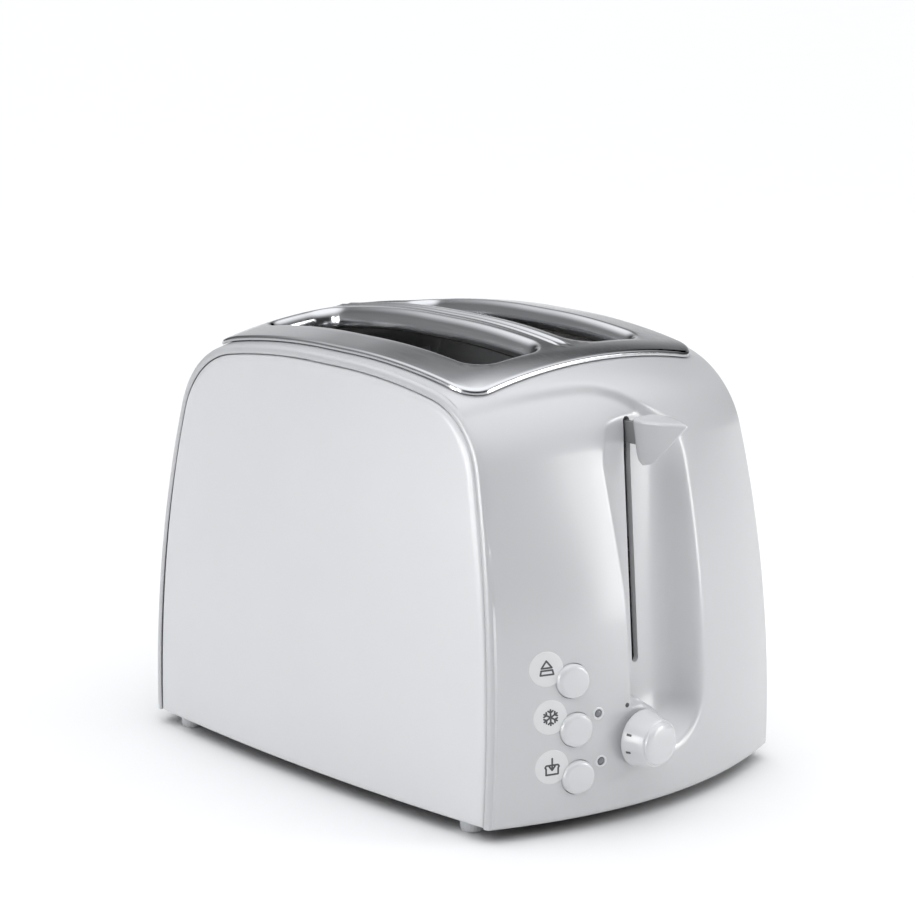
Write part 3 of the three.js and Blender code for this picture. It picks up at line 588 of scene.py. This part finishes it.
def top_plate():
    """Polished plate with a rounded edge, turned-down slot edges and a pair of middle ridges."""
    def outer(grow):
        return refined(offset_outline(PLATE["half"], PLATE["front"], PLATE["rear"],
                                      PLATE["corner"], grow), 3.0)

    def slot_edge(side):
        def at(grow):
            base = refined(offset_outline(SLOT_HALF, *BREAD_Y, SLOT_CORNER, 0,
                                          side * SLOT_CENTRE_X), 3.0)
            if grow == 0:
                return base
            return [(x + nx * grow, y + ny * grow)
                    for (x, y), (nx, ny) in zip(base, outline_normals(base))]
        return at

    def outer_at(grow):
        base = outer(0)
        return [(x + nx * grow, y + ny * grow)
                for (x, y), (nx, ny) in zip(base, outline_normals(base))]

    points, faces = [], []
    edge = [(-1.6, 0), (-1.0, 0.04), (-0.5, 0.2), (-0.15, 0.55), (0, 1.0), (0, 1.9), (-0.6, 2.2),
            (-6, 2.2)]
    flange = [(SLOT_ROLL[0] * (1 - math.sin(t)), SLOT_ROLL[1] * (1 - math.cos(t)))
              for t in np.radians(np.arange(0, 91, 9))]
    flange += [(0, SLOT_WALL - 0.6), (0.3, SLOT_WALL), (0.9, SLOT_WALL), (1.3, SLOT_WALL - 0.5),
               (1.5, 7.0)]
    borders = []
    for at, profile in ((outer_at, edge), (slot_edge(-1), flange), (slot_edge(1), flange)):
        rings = plate_rings(at, profile)
        start = len(points)
        for ring in rings:
            points += ring
        strip_between(faces, rings, start)
        borders.append(list(range(start, start + len(rings[0]))))
    fill_plate(points, faces, borders)
    make_piece("polished_plate", points, faces, CHROME, slot="chrome_plate",
               replaces=["top_plate"], sharp=50)


def outline_normals(outline):
    """Outward unit directions at the corners of an outline that runs anticlockwise."""
    count = len(outline)
    normals = []
    for i in range(count):
        x0, y0 = outline[i - 1]
        x1, y1 = outline[(i + 1) % count]
        length = math.hypot(x1 - x0, y1 - y0)
        normals.append(((y1 - y0) / length, -(x1 - x0) / length))
    return normals


def fill_plate(points, faces, borders):
    """Triangles over the flat of the plate, between its edge and the two slots."""
    flat = [Vector(points[i][:2]) for border in borders for i in border]
    index = [i for border in borders for i in border]
    loops, start = [], 0
    for border in borders:
        loops.append([start + k for k in range(len(border))])
        start += len(border)
    edges = [(loop[k], loop[(k + 1) % len(loop)]) for loop in loops for k in range(len(loop))]
    rings = [[flat[k] for k in loop] for loop in loops]
    columns = list(np.arange(-66, 66.1, 3.0)) + list(np.arange(-5.2, 5.3, 0.4))
    for x in columns:
        for y in np.arange(PLATE["front"] + 2.5, PLATE["rear"] - 2, 3.0):
            place = Vector((x, y))
            if inside(place, rings[0], 0.9) and not any(inside(place, r, -0.9) for r in rings[1:]):
                flat.append(place)
                index.append(len(points))
                points.append((x, y, top_z(x, y, PLATE_TOP) + ridge_rise(x, y)))
    made = delaunay_2d_cdt(flat, edges, [], 0, 1e-5)
    for triangle in made[2]:
        middle = sum((made[0][k] for k in triangle), Vector((0, 0))) / 3
        if inside(middle, rings[0], 0) and not any(inside(middle, r, 0) for r in rings[1:]):
            faces.append(tuple(index[made[3][k][0]] for k in triangle))


def inside(place, ring, margin):
    """True inside a ring by more than margin; a negative margin counts a band outside it too."""
    crossings, nearest = False, 1e9
    x, y = place
    for k, (x1, y1) in enumerate(ring):
        x2, y2 = ring[(k + 1) % len(ring)]
        if (y1 > y) != (y2 > y) and x < (x2 - x1) * (y - y1) / (y2 - y1) + x1:
            crossings = not crossings
        nearest = min(nearest, math.hypot(x - x1, y - y1))
    return crossings and nearest > margin if margin >= 0 else crossings or nearest < -margin


# ---- Front controls ----
def turned_piece(name, profile, place, material, body, sides=72, **extra):
    """A body turned about the Y axis: profile rows are radius and Y."""
    cx, cz = place
    points = []
    for radius, y in profile:
        for k in range(sides):
            t = 2 * math.pi * k / sides
            points.append((cx + radius * math.cos(t), y, cz + radius * math.sin(t)))
    faces = grid_faces(len(profile), sides, close_columns=True)
    faces.append(tuple(range(sides)))
    faces.append(tuple(len(points) - 1 - k for k in range(sides)))
    return make_piece(name, points, faces, material, body, **extra)


def dial():
    profile = [(3.4, 0), (11.6, 0), (12, 0.4), (12, 0.9), (11.6, 2.2), (11.0, 5.0), (10.4, 8.0),
               (10.0, 9.8), (9.85, 10.3), (9.5, 10.65), (9.15, 10.6), (8.95, 10.7), (8.9, 11.0),
               (8.75, 11.5), (8.4, 12.0), (7.8, 12.4), (6.6, 12.72), (4.6, 12.92), (2.4, 13.0),
               (0.05, 13.02)]
    rows = [(0.05, KNOB_Y)] + [(r, KNOB_Y - d) for r, d in profile]
    turned_piece("dial", rows, (KNOB_X, KNOB_Z), BUTTON, "browning_dial", slot="button_white",
                 replaces=["browning_knob"], sharp=60)
    for k, turn in enumerate(DIAL_MARKS):
        tick_mark(f"dial_mark_{k + 1}", math.radians(turn))


def tick_mark(name, turn):
    """A short printed dash that follows the dial's skirt."""
    points = []
    for depth in np.linspace(DIAL_MARK_DEPTH[0], DIAL_MARK_DEPTH[1], 5):
        radius = np.interp(depth, (0.9, 2.2, 5.0, 8.0), (12, 11.6, 11.0, 10.4))
        for lift in (0.05, -0.3):
            for aside in (-0.042, 0, 0.042):
                t = turn + aside
                points.append((KNOB_X + (radius + lift) * math.cos(t), KNOB_Y - depth,
                               KNOB_Z + (radius + lift) * math.sin(t)))
    order = [0, 1, 2, 5, 4, 3]
    rows = [[points[6 * r + k] for k in order] for r in range(5)]
    faces = grid_faces(5, 6, close_columns=True) + [tuple(range(6)), tuple(range(29, 23, -1))]
    make_piece(name, [p for row in rows for p in row], faces, INK, "browning_dial",
               slot="black_plastic")


def front_disc(place, radius, rows, sides=64):
    """Rings of a disc that follows the front wall; rows are share of radius and height above it."""
    cx, cz = place
    points = []
    for share, rise in rows:
        for k in range(sides):
            t = 2 * math.pi * k / sides
            x, z = cx + radius * share * math.cos(t), cz + radius * share * math.sin(t)
            points.append((x, front_y(x, z) - rise, z))
    faces = grid_faces(len(rows), sides, close_columns=True)
    faces.append(tuple(range(sides)))
    faces.append(tuple(len(points) - 1 - k for k in range(sides)))
    return points, faces


def push_button(name):
    fillet = [(1 - 0.27 * (1 - math.sin(t)), -1.9 * (1 - math.cos(t)))
              for t in np.radians(np.arange(0, 91, 11.25))]
    crown = [(share, BUTTON_PROUD + 0.35 * (0.73 ** 2 - share ** 2) - 0.05)
             for share in (0.01, 0.15, 0.3, 0.45, 0.6)]
    rows = crown + [(share, BUTTON_PROUD - 0.05 + drop) for share, drop in fillet]
    rows += [(1, -2), (1, -4), (0.02, -4)]
    points, faces = front_disc(BUTTONS[name], BUTTON_RADIUS, rows)
    make_piece(f"push_button_{name}", points, faces, BUTTON, f"button_{name}",
               slot="button_white", replaces=[f"button_{name}"], sharp=60)


def lamp(name):
    place = INDICATORS[name]
    points, faces = front_disc(place, INDICATOR_RADIUS, [(0.03, 0.28), (0.5, 0.25), (0.85, 0.1),
                                                         (1, -0.2), (1, -3), (0.03, -3)], 32)
    make_piece(f"lamp_{name}", points, faces, LENS, slot="lens_grey",
               replaces=[f"indicator_{name}"], sharp=60)
    ring = [(1.16, -1), (1.16, 0.12), (1.25, 0.24), (1.42, 0.3), (1.6, 0.24), (1.75, 0.06),
            (1.8, -0.2), (1.8, -1)]
    points, faces = front_disc(place, INDICATOR_RADIUS, ring, 40)
    del faces[-2:]
    faces += [(k, (k + 1) % 40, len(points) - 40 + (k + 1) % 40, len(points) - 40 + k)
              for k in range(40)]
    make_piece(f"lamp_ring_{name}", points, faces, DISC, slot="white_gloss", sharp=60)


def pointer_dot():
    points, faces = front_disc(POINTER, POINTER_RADIUS, [(0.03, 0.1), (0.8, 0.09), (1, -0.05),
                                                         (1, -0.6), (0.03, -0.6)], 32)
    make_piece("pointer_dot", points, faces, INK, slot="black_plastic", sharp=60)


def icon_disc(name):
    rows = [(0.02, 0.16), (0.5, 0.16), (0.94, 0.15), (0.98, 0.1), (1, 0), (1, -0.8), (0.02, -0.8)]
    points, faces = front_disc(ICONS[name], ICON_RADIUS, rows)
    make_piece(f"icon_disc_{name}", points, faces, DISC, slot="white_gloss", sharp=60)
    for k, line in enumerate(icon_lines(name)):
        ink_stroke(f"icon_{name}_{k + 1}", ICONS[name], line)


def icon_lines(name):
    """Strokes of each sign, as polylines of (x, z) from the disc's middle, in millimetres."""
    if name == "cancel":
        return [[(-2.2, 0.5), (0, 3.4), (2.2, 0.5), (-2.2, 0.5)],
                [(-2.8, -2.3), (-2.4, -0.5), (2.4, -0.5), (2.8, -2.3), (-2.8, -2.3)]]
    if name == "frozen":
        strokes = []
        for k in range(3):
            t = math.radians(30 + 60 * k)
            c, s = math.cos(t), math.sin(t)
            strokes.append([(-3.2 * c, -3.2 * s), (3.2 * c, 3.2 * s)])
        for k in range(6):
            t = math.radians(30 + 60 * k)
            tip = [(2.9 * math.cos(t + a), 2.9 * math.sin(t + a)) for a in (-0.36, 0.36)]
            fork = (2.0 * math.cos(t), 2.0 * math.sin(t))
            strokes.append([tip[0], fork, tip[1]])
        return strokes
    slice_outline = [(-2.6, -3.1), (-2.6, -0.6), (-3.0, 0.1), (-2.5, 0.8), (2.5, 0.8), (3.0, 0.1),
                     (2.6, -0.6), (2.6, -3.1), (-2.6, -3.1)]
    arrow = [[(0, 3.6), (0, -1.2)], [(-1.2, 0.3), (0, -1.3), (1.2, 0.3)]]
    return [slice_outline] + arrow


def ink_stroke(name, centre, line, width=0.72):
    """A printed line with round ends, lying just over the icon disc."""
    points, faces = [], []
    for (x0, z0), (x1, z1) in zip(line, line[1:]):
        turn = math.atan2(z1 - z0, x1 - x0)
        outline = []
        for (x, z), start in (((x1, z1), -90), ((x0, z0), 90)):
            for step in range(7):
                t = turn + math.radians(start + 30 * step)
                outline.append((x + width / 2 * math.cos(t), z + width / 2 * math.sin(t)))
        count, first = len(outline), len(points)
        for rise in (0.22, 0.1):
            for x, z in outline:
                px, pz = centre[0] + x, centre[1] + z
                points.append((px, front_y(px, pz) - rise, pz))
        faces.append(tuple(first + k for k in range(count)))
        faces.append(tuple(first + count + k for k in range(count - 1, -1, -1)))
        faces += [(first + k, first + (k + 1) % count, first + count + (k + 1) % count,
                   first + count + k) for k in range(count)]
    make_piece(name, points, faces, INK, slot="black_plastic")


# ---- Lever ----
LEAF = [(0, -113.4), (3.2, -113.6), (5.6, -114.6), (7.2, -116.6), (8, -119.5), (7.8, -122.6),
        (7, -125.5), (5.6, -129.2), (4, -132.5), (2.5, -135.4), (1.2, -138), (0.5, -139.3)]
LEVER_BACK = [(146, -116.4), (146.4, -115.2), (147.5, -113.9), (150, -113), (154, -112.8),
              (160, -113.1), (165.2, -113.4)]
LEVER_TIP = [(146, -117.4), (146.4, -119), (147.5, -121), (152, -126), (165.2, -139.4)]


def lever_end():
    """Beak with a leaf-shaped top and hollow flanks that narrow to a keel."""
    outline = LEAF + [(-x, y) for x, y in LEAF[:0:-1]]
    high_z, low_z = 165.2, 146.0
    slices = []
    for t in np.linspace(0, 1, 22):
        width = 0.2 + 0.8 * t ** 1.25
        slices.append((width, 1, low_z + t * (high_z - low_z)))
    slices += [(0.99, 0.992, 165.6), (0.96, 0.975, 165.95), (0.9, 0.94, 166.15),
               (0.7, 0.8, 166.35), (0.4, 0.55, 166.45), (0.05, 0.1, 166.5)]
    points = []
    for width, length, z in slices:
        back = float(np.interp(z, *zip(*LEVER_BACK)))
        tip = float(np.interp(z, *zip(*LEVER_TIP)))
        if z > high_z:
            back, tip = back - 13 * (1 - length), tip + 11 * (1 - length)
        for x, y in outline:
            share = (y - LEAF[0][1]) / (LEAF[-1][1] - LEAF[0][1])
            points.append((SLOT_X + x * width, back + (tip - back) * share, z))
    count = len(outline)
    faces = grid_faces(len(slices), count, close_columns=True)
    faces.append(tuple(range(count)))
    faces.append(tuple(len(points) - 1 - k for k in range(count)))
    make_piece("lever_end", points, faces, SHADED_WHITE, "carriage", slot="white_gloss",
               replaces=["lever_knob"], sharp=48)


# ---- Inside ----
def tube(path, radius, sides=10, closed=False):
    """Points and faces of a round wire along a path."""
    path = np.asarray(path, float)
    if closed:
        tangent = np.roll(path, -1, 0) - np.roll(path, 1, 0)
    else:
        tangent = np.gradient(path, axis=0)
    tangent /= np.linalg.norm(tangent, axis=1, keepdims=True)
    side = np.cross(tangent[0], (0, 0, 1) if abs(tangent[0][2]) < 0.9 else (1, 0, 0))
    points = []
    for at, direction in zip(path, tangent):
        side = side - direction * np.dot(side, direction)
        side = side / np.linalg.norm(side)
        other = np.cross(direction, side)
        for k in range(sides):
            t = 2 * math.pi * k / sides
            points.append(tuple(at + radius * (math.cos(t) * side + math.sin(t) * other)))
    rows = len(path)
    faces = grid_faces(rows, sides, close_rows=closed, close_columns=True)
    if not closed:
        faces.append(tuple(range(sides)))
        faces.append(tuple(rows * sides - 1 - k for k in range(sides)))
    return points, faces


def merged(solids):
    points, faces = [], []
    for solid_points, solid_faces in solids:
        start = len(points)
        points += solid_points
        faces += [tuple(i + start for i in face) for face in solid_faces]
    return points, faces


def bread_guides():
    y0, y1 = CHAMBER_Y[0] + 0.2, CHAMBER_Y[1] - 0.2
    pitch = (y1 - y0 - 2 * GUIDE["inset"]) / (GUIDE["wires"] - 1)
    for side, name in ((-1, "left"), (1, "right")):
        for sign, place in ((-1, "inner"), (1, "outer")):
            x = side * (SLOT_CENTRE_X + sign * GUIDE["offset"])
            wires = [tube([(x, y0, GUIDE["low"]), (x, y1, GUIDE["low"])], GUIDE["radius"])]
            wires.append(tube([(x, y0 + 8, GUIDE["high"]), (x, y1 - 8, GUIDE["high"])],
                              GUIDE["radius"]))
            for k in range(GUIDE["wires"]):
                y = y0 + GUIDE["inset"] + k * pitch
                wires.append(tube([(x, y, GUIDE["low"]), (x, y, GUIDE["high"])],
                                  GUIDE["radius"] * 0.92))
            body = f"bread_guide_{name}_{place}"
            make_piece(f"wire_guide_{name}_{place}", *merged(wires), STEEL, body,
                       slot="inner_steel", replaces=[body])


def spring():
    turns = np.linspace(0, 2 * math.pi * SPRING["coils"], SPRING["coils"] * 28 + 1)
    low, high = SPRING["low"] + SPRING["wire"], SPRING["high"] - SPRING["wire"]
    path = [(ROD[0] + SPRING["radius"] * math.cos(t), ROD[1] + SPRING["radius"] * math.sin(t),
             low + (high - low) * t / turns[-1]) for t in turns]
    piece = make_piece("lift_spring", *tube(path, SPRING["wire"]), STEEL, slot="inner_steel",
                       replaces=["return_spring"])
    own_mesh(piece)


# ---- CAD pieces that keep their shape ----
CAD_LOOKS = {
    "base_plate": BASE, "front_chassis_plate": STEEL, "rear_chassis_plate": STEEL,
    "carriage_bracket": STEEL, "lever_arm": DARK_STEEL, "armature_plate": DARK_STEEL,
    "guide_rod": STEEL, "magnet_core": DARK_STEEL, "magnet_coil": COPPER,
    "control_board": BOARD, "browning_control": DARK_STEEL, "mains_switch": BLACK,
    "crumb_tray": STEEL, "cord_gland": FOOT,
}
CAD_PREFIXES = {
    "foot_": FOOT, "base_screw_": DARK_STEEL, "heat_reflector_": STEEL, "element_": SHADE_DIMMED_MICA,
    "bread_rack_": STEEL, "switch_": BLACK,
}
ROUNDED_CAD = [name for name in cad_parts
               if name.startswith("foot_") or name in ("base_plate", "cord_gland")]


def dress_cad():
    for name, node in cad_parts.items():
        material = CAD_LOOKS.get(name)
        for prefix, look in CAD_PREFIXES.items():
            if name.startswith(prefix):
                material = look
        if material:
            node.data.materials.clear()
            node.data.materials.append(material)
        if name in ROUNDED_CAD:
            edges = node.modifiers.new("rounded_edges", "BEVEL")
            edges.width, edges.segments = 0.0003, 2
            edges.limit_method, edges.angle_limit = "ANGLE", math.radians(40)


# ---- Light, floor and camera ----
CAMERA_PLACE = (-0.85615, -0.92754, 0.41823)
CAMERA_YAW, CAMERA_PITCH = 0.742072, 0.221705
CAMERA_LENS = 116.47
FLOOR_HALF = 18


def area_light(name, place, target, size, power, sheen=False):
    """A rectangular light; a sheen light is only seen in reflections."""
    data = bpy.data.lights.new(name, "AREA")
    data.shape = "RECTANGLE"
    data.size, data.size_y = size
    data.energy = power
    light = bpy.data.objects.new(name, data)
    bpy.context.scene.collection.objects.link(light)
    light.location = place
    aim = Vector(target) - Vector(place)
    light.rotation_euler = aim.to_track_quat("-Z", "Y").to_euler()
    light.visible_diffuse = not sheen


# axis toward the light, cosine where it starts and where it is full, strength
DOME_BASE = 0.06
DOME = [
    ((0, 0, 1), 0.4, 0.92, 1.9),
    ((-0.85, 0.5, 0.15), 0.5, 1.0, 0.3),
    ((0.66, 0.72, 0.12), 0.75, 1.0, 0.7),
    ((0.72, 0.48, 0.62), 0.88, 0.99, -0.55),
]


def dome(world):
    """A room of soft light: a base level with broad brighter and darker directions."""
    nodes, links = world.node_tree.nodes, world.node_tree.links
    toward = nodes.new("ShaderNodeTexCoord")
    total = None
    for axis, start, full, strength in DOME:
        dot = nodes.new("ShaderNodeVectorMath")
        dot.operation = "DOT_PRODUCT"
        dot.inputs[1].default_value = Vector(axis).normalized()
        links.new(toward.outputs["Generated"], dot.inputs[0])
        lobe = nodes.new("ShaderNodeMapRange")
        lobe.interpolation_type = "SMOOTHSTEP"
        lobe.inputs["From Min"].default_value = start
        lobe.inputs["From Max"].default_value = full
        lobe.inputs["To Max"].default_value = strength
        links.new(dot.outputs["Value"], lobe.inputs["Value"])
        add = nodes.new("ShaderNodeMath")
        add.operation = "ADD"
        links.new(lobe.outputs["Result"], add.inputs[0])
        if total is None:
            add.inputs[1].default_value = DOME_BASE
        else:
            links.new(total.outputs["Value"], add.inputs[1])
        total = add
    background = nodes["Background"]
    background.inputs["Color"].default_value = (0.97, 0.98, 1, 1)
    links.new(total.outputs["Value"], background.inputs["Strength"])


def studio():
    world = bpy.data.worlds.new("studio")
    bpy.context.scene.world = world
    world.use_nodes = True
    dome(world)
    middle = (0, 0, 0.1)
    area_light("key", (0.75, -0.95, 0.5), middle, (0.3, 0.3), 2.6)
    area_light("front_sheen", (0.62, -1.1, 0.1), middle, (0.45, 1.1), 9, sheen=True)
    area_light("corner_sheen", (-1.3, -0.12, 0.3), middle, (0.16, 0.9), 9, sheen=True)
    area_light("side_sheen", (-1.2, 0.42, 0.1), middle, (0.5, 1.0), 13, sheen=True)

    mesh = bpy.data.meshes.new("floor")
    corners = [(x * FLOOR_HALF, y * FLOOR_HALF, 0) for x, y in ((-1, -1), (1, -1), (1, 1), (-1, 1))]
    mesh.from_pydata(corners, [], [(0, 1, 2, 3)])
    floor = bpy.data.objects.new("floor", mesh)
    bpy.context.scene.collection.objects.link(floor)
    mesh.materials.append(node_material("floor", (0.94, 0.94, 0.94), 0.7, vary=0.004, bump=0.0))
    bpy.context.scene.view_settings.view_transform = "Standard"


def camera():
    data = bpy.data.cameras.new("camera")
    data.sensor_width = 36
    data.lens = CAMERA_LENS
    data.clip_end = 50
    view = bpy.data.objects.new("camera", data)
    bpy.context.scene.collection.objects.link(view)
    view.location = CAMERA_PLACE
    view.rotation_euler = (math.pi / 2 - CAMERA_PITCH, 0, -CAMERA_YAW)
    bpy.context.scene.camera = view


camera()
studio()
dress_cad()
housing()
for side, name in ((-1, "left"), (1, "right")):
    side_panel(side, name)
top_plate()
dial()
for name in BUTTONS:
    push_button(name)
    icon_disc(name)
for name in INDICATORS:
    lamp(name)
pointer_dot()
lever_end()
bread_guides()
spring()
